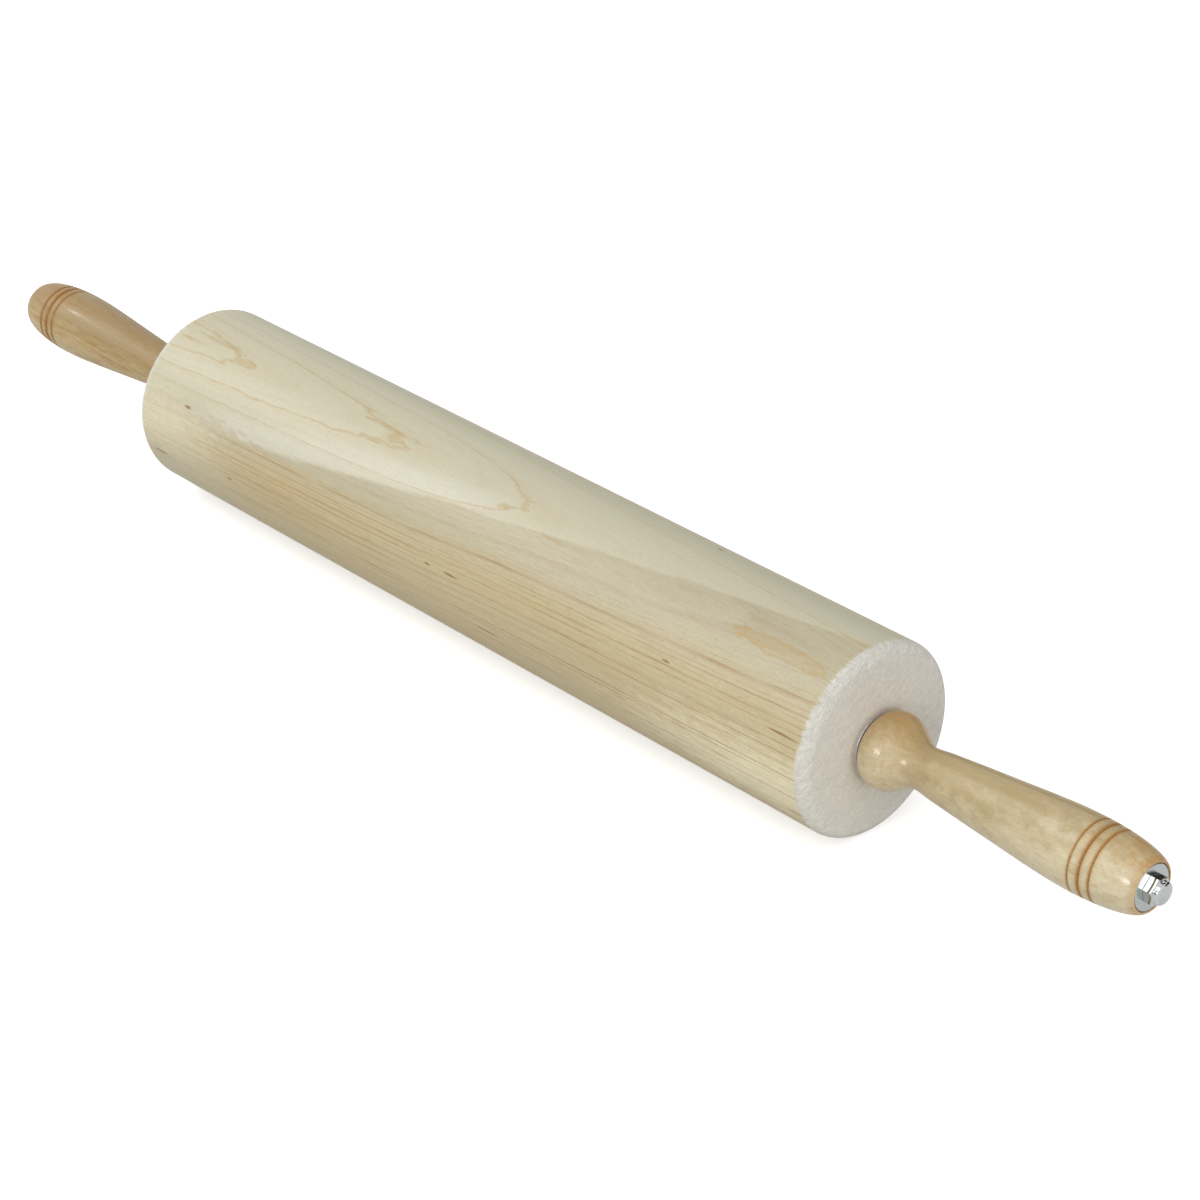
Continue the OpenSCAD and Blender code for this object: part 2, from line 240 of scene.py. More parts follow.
# Lengths are in millimetres. A mark is its place along the roller, its degrees from the top towards the
# front, its half length and its half width
rollerWood = {
    "sapwood": shade(214, 208, 180),
    # Colour of the palest band: paler sapwood with a painted highlight in it
    "paleSapAndSheen": shade(227, 222, 201),
    "honeyPale": shade(250, 240, 204),
    "greyHeart": shade(200, 192, 163),
    "heartwood": shade(212, 197, 157),
    "warmHeart": shade(208, 184, 136),
    "line": shade(168, 124, 64),
    "fleck": shade(150, 104, 48),
    "amber": shade(196, 166, 106),
    "endGrain": shade(233, 228, 217),
    "endRim": shade(233, 230, 220),
    "endLine": shade(186, 172, 146),

    "ringLean": 24.0,       # degrees from the top, towards the front, that the growth rings face
    # How far the rings have grown out, at places along the roller
    "ringRunOut": [(-232, 7.3), (-179, 6.3), (-120, 5.1), (-35, 3.15), (2, 1.6), (31, 0.0),
                   (100, -2.0), (232, -5.5)],
    "ringSway": (0.8, 0.55, 0.48),      # slow, middling and ragged
    "ringPitch": 3.3,
    "ringUneven": 2.6,      # how far one ring's width strays from the next, in rings
    "ringLine": (0.58, 0.95),           # shares of a ring where its dark line starts and is darkest
    "hairPitch": 1.25,
    "hairUneven": 1.6,
    "hairLine": (0.5, 0.95),
    "boldRings": [(50.75, 0.85), (48.15, 0.9), (44.45, 0.75), (36.6, 0.7)],     # place, strength
    "boldJag": 0.9,

    "sapPlane": (-0.138, 0.866, 0.5),
    "sapOffset": 9.8,
    "paleBandAndSheen": (7.0, 15.0),            # outside the sapwood's edge, where the palest band fades; the band is partly paler sapwood and partly a painted highlight
    "paleBandAndSheenEnd": (-30.0, 60.0),       # along the roller, the same
    "farEnd": (-205.0, -120.0),         # along the roller, where the heartwood thins out
    "deepHeart": (29.0, 41.5),          # in through the rings
    "backPlane": (0.02, 1.0, -0.3),     # the side that the photograph doesn't show
    "backEdge": (4.0, 30.0),
    # Strengths everywhere, then more at the back, in the heartwood, and in its deepest part
    "lineStrength": (0.07, 0.24, 0.50, 0.60),
    "hairStrength": (0.03, 0.12, 0.14, 0.20),
    "fibreStrength": (0.11, 0.08, 0.10, 0.16),

    "flecks": [(-190.5, 66, 3.4, 1.2), (-7.5, 82, 2.8, 0.8), (9, 81.5, 6.2, 0.8), (144, 65, 3.4, 0.7),
               (214, 70.5, 13.0, 0.75), (31, 107, 10.0, 0.7), (-155, 98, 2.4, 0.9), (119, -21, 3.0, 1.0),
               (-213, 107, 8.0, 0.8), (222, 118, 9.0, 0.8)],
    "amberStreaks": [(56, 34.5, 13.0, 1.5), (-68, 18.5, 24.0, 1.7), (-88, 12.5, 8.0, 1.2),
                     (-196, 18.5, 19.0, 1.6), (-214, 25.5, 12.0, 1.5), (21, 30, 5.0, 2.2),
                     (184, 32, 14.0, 1.2), (120, 101, 8.0, 1.0), (180, 102, 9.0, 1.0)],
    "amberLoop": (193, 31, 29.0, 4.0),
    "paleStreaks": [((222, 104, 105.0, 20.0), 1.0), ((-226, 84, 66.0, 19.0), 0.6)],     # mark, strength
    "warmPatch": (-120, 88, 90.0, 15.0),

    "endSpan": (5.8, 3.8),      # in from the end, where its bare grain starts and is full
    "rimSpan": (7.4, 3.8),      # in from the barrel, the same for the end's pale rim
}


def makeRollerWood(wood):
    r = Recipe("rollerMaple")
    p = r.millimetres()
    x, y, z = r.split(p)
    radius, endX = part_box("roller")[1].z / mm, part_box("roller")[1].x / mm

    # Noise: sways for the rings, then clouds, then fibres
    slow = r.grain(p, 0.008, 0.022, 1)
    middling = r.grain(p, 0.03, 0.10, 2)
    ragged = r.grain(p, 0.13, 0.45, 3, 0.6)
    cloud = r.grain(p, 0.010, 0.06, 2)
    mottle = r.grain(p, 0.5, 0.7, 3, 0.65)
    fibre = r.grain(p, 0.05, 1.1, 4, 0.65)
    fine = r.grain(p, 0.16, 3.4, 3, 0.6)

    # Distance out through the growth rings, swaying as the tree did
    lean = radians(wood["ringLean"])
    across = z * cos(lean) - y * sin(lean) + r.bend(x, wood["ringRunOut"])
    for sway, reach in zip((slow, middling, ragged), wood["ringSway"]):
        across = across + sway * reach

    # Thin late-wood lines, each with its own strength, that fade in and out along the roller
    turn = across / wood["ringPitch"] + r.noise(across * 0.13, 1) * wood["ringUneven"]
    fade = 0.55 + r.grain(p, 0.025, 0.2, 2) * 1.8
    strength = 0.25 + 0.75 * r.chance(turn.whole())
    lines = r.ringLine(turn, *wood["ringLine"]) ** 2.2 * strength * fade.most(0.15)
    turn = across / wood["hairPitch"] + r.noise(across * 0.3, 1) * wood["hairUneven"]
    hairs = r.ringLine(turn, *wood["hairLine"]) * (r.grain(p, 0.03, 0.5, 2) * 2.4 + 0.4).most(0.0)

    # The few bold rings that arch across the top, each a thin line with a soft inner side
    bold = 0.0
    jagged = across + r.grain(p, 0.055, 0.22, 3, 0.55) * wood["boldJag"]
    for place, strength in wood["boldRings"]:
        offset = jagged - place
        line = r.fall(abs(offset + 0.05), 0.02, 0.19)
        inner = r.fall(abs(offset + 0.5), 0.0, 0.7)
        bold = (line + inner * 0.2) * strength + bold

    # Sapwood, heartwood, its deepest part, and the back of the roller
    toSap = r.vectors("DOT_PRODUCT", p, wood["sapPlane"], "Value") + wood["sapOffset"]
    toSap = toSap + middling * 3.0 + ragged * 2.0
    farEnd = r.fall(x + ragged * 70.0, *wood["farEnd"])
    heart = r.fall((toSap - farEnd * 13.0) / (1 + farEnd * 4.0), -1.0, 1.2) * (1 - farEnd * 0.6)
    deepHeart = r.fall(across + middling * 2.0, *wood["deepHeart"])
    # The palest band along the sapwood's edge, mostly on the far half: partly paler sapwood, partly a painted
    # highlight
    paleBandAndSheen = r.step(toSap, -0.5, 2.5) * r.fall(toSap, *wood["paleBandAndSheen"]) * r.fall(x, *wood["paleBandAndSheenEnd"])
    back = r.step(r.vectors("DOT_PRODUCT", p, wood["backPlane"], "Value"), *wood["backEdge"])

    def byZone(everywhere, atBack, inHeart, inDeepHeart):
        return everywhere + atBack * back + (inHeart + inDeepHeart * deepHeart) * heart

    # How far away the middle of a mark is, in shares of its size: 1 at the mark's edge
    def fromMark(mark, fray):
        along, angle, halfLength, halfWidth = mark
        middle = Vector((along, -radius * sin(radians(angle)), radius * cos(radians(angle))))
        offset = r.stretch(r.vectors("SUBTRACT", p, middle), 1 / halfLength, 1 / halfWidth)
        return r.add("VectorMath", {"operation": "LENGTH"}, {0: offset}, "Value") + ragged * fray

    def marks(places, fray):
        total = 0.0
        for mark in places:
            total = r.fall(fromMark(mark, fray), 0.3, 1.0) + total
        return total

    colour = r.mix(paleBandAndSheen * 0.7, wood["sapwood"], wood["paleSapAndSheen"])
    colour = r.mix(heart, colour, r.mix(deepHeart, wood["greyHeart"], wood["heartwood"]))
    patch = r.fall(fromMark(wood["warmPatch"], 0.8) + fibre * 0.8, 0.2, 1.2)
    warmFibres = (fibre * 2.2 + cloud - 0.1).most(0.0) * (0.4 + 0.6 * deepHeart)
    warm = (patch + cloud) * 0.5 * deepHeart + warmFibres
    colour = r.mix((warm * heart).between(0.0, 0.75), colour, wood["warmHeart"])
    for mark, strength in wood["paleStreaks"]:
        streak = r.fall(fromMark(mark, 1.0) + fibre * 1.6, 0.2, 1.25)
        colour = r.mix(streak * strength, colour, wood["honeyPale"])
    colour = r.mix((lines * byZone(*wood["lineStrength"])).least(0.9), colour, wood["line"])
    colour = r.mix((hairs * byZone(*wood["hairStrength"])).least(0.8), colour, wood["line"])
    colour = r.mix((bold * (0.55 + ragged * 0.8)).between(0.0, 0.7), colour, wood["amber"])
    level = 1 + fibre * byZone(*wood["fibreStrength"]) + fine * (0.17 + 0.22 * heart) + mottle * 0.18
    colour = r.tone(colour, level, level, level + fibre * 0.03)

    # Marks placed one by one. The loop is darkest just inside its edge
    fromLoop = fromMark(wood["amberLoop"], 1.6)
    loop = r.fall(fromLoop, 0.85, 1.05) * (0.35 + (fibre * 2.6).most(0.0) + r.step(fromLoop, 0.5, 0.9) * 1.1)
    amber = (marks(wood["amberStreaks"], 2.0) + loop) * (0.50 + fibre * 0.9)
    colour = r.mix(amber.between(0.0, 0.6), colour, wood["amber"])
    colour = r.mix((marks(wood["flecks"], 0.8) * 0.8).least(0.8), colour, wood["fleck"])
    pores = r.pores(p, 0.11, 0.75, 0.05, 0.19) * (0.15 + 0.85 * heart)
    colour = r.mix(pores * 0.34, colour, wood["line"])

    # End grain: matt and greyer, with a paler fuzzy rim where the edge is rounded over
    fromAxle = (y * y + z * z).root()
    sawn = r.grain(p, 0.4, 0.4, 5, 0.7)
    pits = r.grain(p, 1.0, 1.0, 3, 0.75)
    speck = r.grain(p, 0.45, 1.5, 3, 0.8)
    strokes = r.noise(r.join(x * 0.3, (y + z) * 0.10, (z - y) * 0.85), 3, 0.7)      # left by the sanding disc
    towardsEnd = abs(x) + (fromAxle - radius).most(-6.0) * 0.55 + ragged * 1.6 + fibre * 3.4
    end = r.step(towardsEnd, *[endX - inset for inset in wood["endSpan"]])
    rim = r.step(fromAxle + sawn * 3.0, *[radius - inset for inset in wood["rimSpan"]])
    endColour = r.mix(rim, wood["endGrain"], wood["endRim"])
    endColour = r.mix((lines * 0.34 + bold * 0.10).least(0.4), endColour, wood["endLine"])
    # The end is painted a little darker towards the top: painted shade, not a colour of the wood
    level = 1 - z * 0.0012 + strokes * (0.22 + 0.40 * rim) + sawn * 0.30
    level = level + pits * (0.42 + 0.04 * rim) + speck * (0.50 + 0.06 * rim)
    colour = r.mix(end, colour, r.tone(endColour, level, level, level))

    height = fibre * 0.5 + fine * 0.35 - lines * 0.15 - pores * 0.6 + end * (pits * 3.2 + sawn * 2.2)
    return r.surface(Base_Color=colour, Roughness=0.46 + fibre * 0.10 + lines * 0.05 + end * 0.40,
                     Specular_IOR_Level=0.40, Normal=r.bump(height, 0.35, 0.22 * mm))


# The two handles were turned from different boards
nearWood = {
    "name": "nearHandleMaple",
    "base": shade(194, 174, 129),
    "warm": shade(192, 156, 99),
    "pale": shade(232, 218, 182),
    "stain": shade(202, 158, 96),
    "burnt": shade(178, 126, 52),
    "ringLean": 60.0, "ringSlope": 0.05, "ringPitch": 3.6, "ringLines": 0.2,
    "seed": 11.0,           # picks this handle's own piece of the figure
    "blotches": 2.4,        # how much the pale and the warm wood differ, in clouds
    "strands": 1.2,         # the same, in long strands
    "paleTail": 0.7,        # how much paler towards the outer end
    "paintedLightBelowStrength": 0.9,       # how much paler the side towards the bench is painted: painted light below, painted shade on top
    "collarTint": 0.45,     # how much the lacquer stains the collar, the outer end and the neck
    "tailTint": 0.55,
    "honey": 0.16,
    "scorch": 1.0,          # how wide the burnt grooves are, against their cut
    "coat": 0.33,
}
farWood = {
    "name": "farHandleMaple",
    "base": shade(170, 146, 101),
    "warm": shade(176, 128, 62),
    "pale": shade(211, 187, 138),
    "stain": shade(168, 128, 70),
    "burnt": shade(166, 116, 46),
    "ringLean": -35.0, "ringSlope": 0.045, "ringPitch": 2.2, "ringLines": 0.5,
    "seed": 47.0,
    "blotches": 1.0,
    "strands": 3.2,
    "paleTail": 0.1,
    # The far handle gets more painted light below and painted shade on top than the near one
    "paintedLightBelowStrength": 1.6,
    "collarTint": 0.5,
    "tailTint": 0.3,
    "honey": 0.1,
    "scorch": 1.45,
    "coat": 0.18,
}
handleSpans = {             # millimetres from the inner face, where each comes in or goes out
    "collar": (8.0, 30.0),
    "neck": (18.0, 62.0),
    "tail": (62.0, 118.0),
    "outerEnd": (120.0, 136.0),
    "rim": (139.0, 142.4),
}


def makeHandleWood(wood, spans, handle):
    r = Recipe(wood["name"])
    p = r.millimetres()
    x, y, z = r.split(p)
    seed = wood["seed"]
    q = r.vectors("ADD", p, (seed * 7, seed, seed * 3))
    slow = r.grain(q, 0.016, 0.05, 1)
    middling = r.grain(q, 0.05, 0.2, 2)
    ragged = r.grain(q, 0.2, 0.9, 3, 0.6)
    blotch = r.grain(q, 0.11, 0.17, 3, 0.6)
    spots = r.grain(q, 0.36, 0.46, 4, 0.7)
    strands = r.grain(q, 0.035, 0.42, 4, 0.7)
    fibre = r.grain(q, 0.09, 1.4, 4, 0.65)
    grit = r.grain(q, 0.5, 1.0, 4, 0.75)

    lean = radians(wood["ringLean"])
    across = z * cos(lean) - y * sin(lean) - abs(x) * wood["ringSlope"]
    turn = (across + slow * 3.0 + middling * 1.2 + ragged * 0.4) / wood["ringPitch"]
    lines = r.ringLine(turn, 0.35, 0.94) ** 1.8 * (0.2 + 0.8 * r.chance(turn.whole() + seed))

    u = abs(x) - handle["innerX"] / mm
    collar = r.fall(u + middling * 8.0, *spans["collar"])
    tail = r.step(u + middling * 12.0, *spans["tail"]) * wood["paleTail"]
    paintedLightBelow = (y * -0.45 - z * 0.85) / 17.0       # 1 on the side towards the bench and below zero on top: painted light below, painted shade on top
    palest = 0.84 + blotch * wood["blotches"] - tail - collar * 0.55 - paintedLightBelow * wood["paintedLightBelowStrength"]
    colour = r.mix(palest.between(0.0, 1.0), wood["pale"], wood["base"])
    warmth = blotch * -1.6 + middling * 0.9 + strands * wood["strands"]
    colour = r.mix(warmth.between(0.0, 0.6), colour, wood["warm"])
    colour = r.mix((lines * wood["ringLines"]).least(1.0), colour, wood["warm"])

    # Lacquer gathers amber on the collar, at the outer end and round its rim; the darker amber on top of them
    # is partly stain and partly painted shade
    rim = r.step(u + ragged * 1.5, *spans["rim"]) * (0.75 + ragged)
    topStainAndShade = (spots * 3.0 - paintedLightBelow * 1.3 - 0.1).most(0.0)
    honey = r.fall(u + middling * 10.0, *spans["neck"]) * wood["honey"]
    ends = collar * wood["collarTint"] + r.step(u, *spans["outerEnd"]) * wood["tailTint"]
    # The stain also deepens on top everywhere along the handle: painted shade
    stain = ends * topStainAndShade + rim * 0.6 + honey + (spots * 1.6 - paintedLightBelow * 0.18 - 0.1).most(0.0)
    colour = r.mix(stain.between(0.0, 1.0), colour, wood["stain"])
    dapple = fibre * 0.20 + ragged * 0.14 - strands * wood["strands"] * 0.08
    dapple = dapple + spots * (0.16 + 0.16 * collar) + grit * 0.36
    colour = r.tone(colour, 1 + dapple * 0.75, 1 + dapple, 1 + dapple * 1.5)        # darker is warmer too
    pores = r.pores(q, 0.22, 1.3, 0.03, 0.16)
    colour = r.mix(pores * 0.18, colour, wood["warm"])

    # Burnt grooves: the wood is scorched in the cut and a little beyond it
    scorch = 0.0
    for at, width in zip(handle["grooves"], handle["grooveWidths"]):
        burn = width * wood["scorch"] / mm
        offset = abs(abs(x) - (handle["outerX"] - at) / mm + ragged * 0.2)
        cut = r.fall(offset, 0.05 * burn, 0.80 * burn) * 0.8
        halo = r.fall(offset, 0.3 * burn, 1.7 * burn) * 0.35
        scorch = cut + halo + scorch
    colour = r.mix((scorch * (0.85 + fibre)).between(0.0, 1.0), colour, wood["burnt"])

    height = fibre * 0.35 - pores * 0.5 + blotch * 1.6
    return r.surface(Base_Color=colour, Roughness=0.46 + fibre * 0.12 + scorch * 0.1,
                     Specular_IOR_Level=0.3, Coat_Weight=wood["coat"], Coat_Roughness=0.12, Coat_IOR=1.45,
                     Normal=r.bump(height, 0.3, 0.2 * mm))


metalFinish = {     # colour, roughness, turning marks in a millimetre, wear
    "chromePlate": (shade(200, 204, 204), 0.06, 3.0, 0.0),
    "washerPlate": (shade(192, 197, 195), 0.22, 4.0, 0.9),
    "zincPlatedCup": (shade(192, 187, 190), 0.6, 6.0, 0.3),
    "turnedSteel": (shade(198, 199, 200), 0.30, 8.0, 0.2),
    "polishedBalls": (shade(224, 225, 227), 0.06, 1.0, 0.0),
    "cageBrass": (shade(206, 172, 100), 0.30, 5.0, 0.3),
}


def makeMetal(name, colour, roughness, marks, wear):
    r = Recipe(name)
    p = r.millimetres()
    x, y, z = r.split(p)
    fromAxle = (y * y + z * z).root()
    turned = r.noise(r.join(x * marks, fromAxle * marks, 0.0), 2)
    smudge = r.grain(p, 0.35, 0.35, 3, 0.6)
    speck = r.grain(p, 2.4, 2.4, 3, 0.6)
    dulled = tuple(level * 0.88 for level in colour)
    base = r.mix((smudge * 0.8 + 0.25 + wear * speck).between(0.0, 1.0), colour, dulled)
    rough = roughness + smudge * roughness * 0.7 + turned * roughness * 0.5
    return r.surface(Base_Color=base, Metallic=1.0, Roughness=rough.most(0.03),
                     Normal=r.bump(turned * 0.5 + speck * wear, 0.12, 0.05 * mm))


# Edges that turn more than sharpAngle, in degrees, stay crisp
def addMesh(name, points, faces, material, slot, body, sharpAngle):
    mesh = bpy.data.meshes.new(name)
    mesh.from_pydata(points, [], faces)
    mesh.validate()
    mesh.shade_smooth()
    mesh.set_sharp_from_angle(angle=radians(sharpAngle))
    mesh.materials.append(material)
    piece = bpy.data.objects.new(name, mesh)
    bpy.context.scene.collection.objects.link(piece)
    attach(piece, body)
    return piece


# Turns a closed outline of (distance along the axle, radius) round the axle
def lathe(outline, segments, side=1):
    points, faces = [], []
    for x, reach in outline:
        for k in range(segments):
            angle = 2 * pi * k / segments
            points.append((side * x, reach * sin(angle), reach * cos(angle)))
    count = len(outline)
    for i in range(count):
        j = (i + 1) % count
        for k in range(segments):
            n = (k + 1) % segments
            face = (i * segments + k, i * segments + n, j * segments + n, j * segments + k)
            faces.append(face if side < 0 else face[::-1])
    return points, faces


# Even shares of a stretch, up to its end
def shares(count):
    return [k / count for k in range(1, count + 1)]


# Points on an arc, from one angle to another in degrees: 0 is along the axle, 90 straight out from it
def roundOver(centreX, centreR, radius, start, end, steps):
    angles = [radians(start + (end - start) * share) for share in [0, *shares(steps)]]
    return [(centreX + radius * cos(a), centreR + radius * sin(a)) for a in angles]


roller = {
    "edge": 5.5 * mm,       # rounded edge at each end
    "edgeStop": 8,          # degrees of its quarter turn that the edge leaves out
    "easeOut": 0.28,        # share of the edge over which sanding carries it on into the flat of the end
    "bore": 7.0 * mm,
    "seat": 12.26 * mm,     # counterbore for the bearing cup
    "seatDepth": 9.73 * mm,
    "seatMouth": 0.3 * mm,
    "segments": 256,
}


def rollerOutline(settings):
    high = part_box("roller")[1]
    radius, endX = high.z, high.x
    edge, stop, soft = settings["edge"], radians(settings["edgeStop"]), settings["seatMouth"]
    right = roundOver(endX - edge, radius - edge, edge, 90, settings["edgeStop"], 15)
    for share in shares(8):
        right.append((endX - edge * (1 - cos(stop)) * (1 - share) ** 2,
                      radius - edge * (1 - sin(stop)) - edge * settings["easeOut"] * share))
    mouth = roundOver(endX - soft, settings["seat"] + soft, soft, 0, -90, 3)
    seatX = endX - settings["seatDepth"]
    half = right + mouth + [(seatX, settings["seat"]), (seatX, settings["bore"])]
    barrel = [(endX * k / 12, radius) for k in range(-10, 11)]
    return barrel + half + [(-x, reach) for x, reach in reversed(half)]


handle = {
    "innerX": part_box("right_handle")[0].x,
    "outerX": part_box("right_handle")[1].x,
    "baseR": 13.0 * mm,
    "collarR": 17.2 * mm, "collarAt": 7.0 * mm,
    "neckR": 9.65 * mm, "neckAt": 25.5 * mm,
    "gripR": 16.45 * mm, "tail": 32.0 * mm, "tailTurn": 77.0,
    "rimR": 11.35 * mm, "recessR": 10.6 * mm, "recess": 1.7 * mm,
    "lip": 0.25 * mm,       # softened edge of the rim
    "boreR": 4.4 * mm,
    "bushFlange": (9.53 * mm, 1.2 * mm),        # radius and depth of the bush's seats
    "bushShank": (5.56 * mm, 13.23 * mm),
    "grooves": [19.0 * mm, 24.1 * mm, 29.2 * mm],       # from the outer end
    "grooveWidths": [1.4 * mm, 2.0 * mm, 1.1 * mm],
    "grooveDepth": 0.4,     # share of the width
    "grooveShoulder": (1.25, 0.15),     # reach in half widths, share of the depth
    "swell": [(0, 0), (0.1, 0.14), (0.25, 0.325), (0.5, 0.595), (0.75, 0.86), (0.9, 0.975), (1, 1)],
    "segments": 128,
    "collarRings": 18, "gripRings": 90,
    "tailStep": 0.7 * mm, "grooveStep": 0.12 * mm,      # between rings on the tail, and near a groove
    "grooveNear": 2.2 * mm,
    "lastRing": 0.6 * mm,   # short of the outer end
}


# Smooth rise through a few (share of length, share of growth) points
def swellAt(points, t):
    i = max(k for k in range(len(points) - 1) if t >= points[k][0])
    rise = [(b[1] - a[1]) / (b[0] - a[0]) for a, b in zip(points, points[1:])]
    slopes = [0] + [2 * a * b / (a + b) for a, b in zip(rise, rise[1:])] + [0]
    (x0, y0), (x1, y1) = points[i], points[i + 1]
    w = x1 - x0
    s = (t - x0) / w
    return (y0 * (2 * s ** 3 - 3 * s ** 2 + 1) + slopes[i] * w * (s ** 3 - 2 * s ** 2 + s)
            + y1 * (3 * s ** 2 - 2 * s ** 3) + slopes[i + 1] * w * (s ** 3 - s ** 2))


# Radius of the handle's turned shape at a distance from its inner face
def handleRadius(h, u):
    length = h["outerX"] - h["innerX"]
    gripAt = length - h["tail"]
    if u < h["collarAt"]:
        turn = acos(1 - u / h["collarAt"])
        return h["baseR"] + (h["collarR"] - h["baseR"]) * sin(turn)
    if u < h["neckAt"]:
        t = (u - h["collarAt"]) / (h["neckAt"] - h["collarAt"])
        return h["neckR"] + (h["collarR"] - h["neckR"]) * (1 + cos(pi * t)) / 2
    if u < gripAt:
        t = (u - h["neckAt"]) / (gripAt - h["neckAt"])
        return h["neckR"] + (h["gripR"] - h["neckR"]) * swellAt(h["swell"], t)
    full = radians(h["tailTurn"])
    turn = asin(min(1, (u - gripAt) / h["tail"] * sin(full)))
    drop = (1 - cos(turn)) / (1 - cos(full))
    return h["gripR"] - (h["gripR"] - h["rimR"]) * drop


# How deep the three grooves cut at a distance from the inner face, as soft-shouldered Vs
def grooveCut(h, u):
    length = h["outerX"] - h["innerX"]
    reach, soft = h["grooveShoulder"]
    cut = 0
    for at, width in zip(h["grooves"], h["grooveWidths"]):
        off = abs(u - (length - at)) / (width / 2)
        if off < reach:
            cut += width * h["grooveDepth"] * (max(0, 1 - off) * (1 - soft) + soft * (1 - off / reach) ** 2)
    return cut


def handleOutline(h):
    length = h["outerX"] - h["innerX"]
    collar, grip = h["collarRings"], h["gripRings"]
    stations = [h["collarAt"] * (1 - cos(pi / 2 * k / collar)) for k in range(collar)]
    stations += [h["collarAt"] + (length - h["collarAt"] - h["tail"]) * k / grip for k in range(grip)]
    u = length - h["tail"]
    while u < length - h["lastRing"]:
        stations.append(u)
        nearGroove = min(abs(u - (length - at)) for at in h["grooves"]) < h["grooveNear"]
        u += h["grooveStep"] if nearGroove else h["tailStep"]
    outer = [(h["innerX"] + u, handleRadius(h, u) - grooveCut(h, u)) for u in stations]
    lip = roundOver(h["outerX"] - h["lip"], h["rimR"] - h["lip"], h["lip"], 75, 0, 5)
    inside = roundOver(h["outerX"] - h["lip"], h["recessR"] + h["lip"], h["lip"], 0, -90, 4)
    floorX = h["outerX"] - h["recess"]
    (flangeR, flangeDepth), (shankR, shankDepth) = h["bushFlange"], h["bushShank"]
    flangeX, shankX = h["innerX"] + flangeDepth, h["innerX"] + shankDepth
    seats = [(shankX, h["boreR"]), (shankX, shankR), (flangeX, shankR), (flangeX, flangeR),
             (h["innerX"], flangeR)]
    return outer + lip + inside + [(floorX, h["recessR"]), (floorX, h["boreR"])] + seats


nut = {
    "flatR": 5.55 * mm, "hexHeight": 4.2 * mm,
    "turn": 14.0,           # degrees about the axle
    "cornerWear": 0.06,     # share of a corner's height over the flats
    "chamfer": 0.5 * mm, "chamferFlat": 0.04 * mm,      # at the corners, and at the middle of a flat
    "soft": 0.2 * mm,
    "capR": 5.05 * mm, "shoulder": 5.7 * mm, "height": 7.3 * mm, "crownTurn": 78.0,
    "boreR": 3.22 * mm, "bore": 5.3 * mm,
    "segments": 240,
}
washer = {"holeR": 3.33 * mm, "edge": 0.1 * mm, "soft": 0.35 * mm, "segments": 128}
cup = {"boreR": 11.03 * mm, "wallR": 12.23 * mm, "backR": 7.0 * mm, "wall": 1.2 * mm, "soft": 0.3 * mm,
       "segments": 128}


# Radius of a hexagon with worn corners, in the direction of an angle
def hexRadius(n, angle):
    turned = (angle + pi / 6) % (pi / 3) - pi / 6
    corner = n["flatR"] / cos(pi / 6)
    worn = n["cornerWear"] * (corner - n["flatR"]) * (1 - cos(6 * angle)) ** 2 / 4
    return n["flatR"] / cos(turned) - worn


# Every ring says how far along and how far out it is, in the direction of an angle
def nutMesh(n, side):
    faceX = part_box("right_end_washer")[1].x
    flatR, soft, top = n["flatR"], n["soft"], n["hexHeight"]
    cornerR = flatR / cos(pi / 6)
    hollow = flatR - n["capR"]
    capX = top + hollow / 2
    full = radians(n["crownTurn"])

    def hexR(angle):
        return hexRadius(n, angle)

    def chamferX(angle):
        return top - n["chamfer"] * (hexR(angle) - flatR) / (cornerR - flatR) - n["chamferFlat"]

    rings = [lambda angle: (n["bore"], n["boreR"]), lambda angle: (0, n["boreR"])]
    for a in [pi / 2 * t for t in [0, *shares(5)]]:     # softened foot
        rings.append(lambda angle, a=a: (soft * (1 - cos(a)), hexR(angle) - soft * (1 - sin(a))))
    for t in shares(10):    # flats
        rings.append(lambda angle, t=t: (soft + (chamferX(angle) - soft) * t, hexR(angle)))
    for t in shares(6):     # chamfer that rounds the corners off
        rings.append(lambda angle, t=t: (chamferX(angle) + (top - chamferX(angle)) * t,
                                         hexR(angle) + (flatR - hexR(angle)) * t))
    for a in [pi / 2 * t for t in shares(5)]:       # hollow between the hexagon's top and the round cap
        rings.append(lambda angle, a=a: (top + hollow / 2 * (1 - cos(a)), flatR - hollow * sin(a)))
    for t in shares(5):     # cap's wall
        rings.append(lambda angle, t=t: (capX + (n["shoulder"] - capX) * t, n["capR"]))
    for a in [full * t for t in shares(24)]:        # crown, and then its small flat
        rings.append(lambda angle, a=a: (n["shoulder"] + (n["height"] - n["shoulder"]) * sin(a) / sin(full),
                                         n["capR"] * cos(a)))
    for share in (0.7, 0.4, 0.1):
        rings.append(lambda angle, share=share: (n["height"], n["capR"] * cos(full) * share))

    points, faces, count = [], [], n["segments"]
    for ring in rings:
        for k in range(count):
            angle = 2 * pi * k / count
            (x, reach), place = ring(angle), radians(n["turn"] + 30) + angle
            points.append((side * (faceX + x), -reach * sin(place), reach * cos(place)))
    for i in range(len(rings) - 1):
        for k in range(count):
            m = (k + 1) % count
            face = (i * count + k, i * count + m, (i + 1) * count + m, (i + 1) * count + k)
            faces.append(face if side > 0 else face[::-1])
    tip = tuple(range((len(rings) - 1) * count, len(rings) * count))
    bore = tuple(range(count))
    faces.append(tip if side > 0 else tip[::-1])
    faces.append(bore[::-1] if side > 0 else bore)
    return points, faces


def washerOutline(w):
    low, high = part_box("right_end_washer")
    reach, soft, edge = high.z, w["soft"], w["edge"]
    outer = [(low.x, w["holeR"]), (low.x, reach - edge), (low.x + edge, reach)]
    crown = roundOver(high.x - soft, reach - soft, soft, 90, 0, 6)
    hole = [(high.x, w["holeR"] + edge), (high.x - edge, w["holeR"])]
    return outer + crown + hole


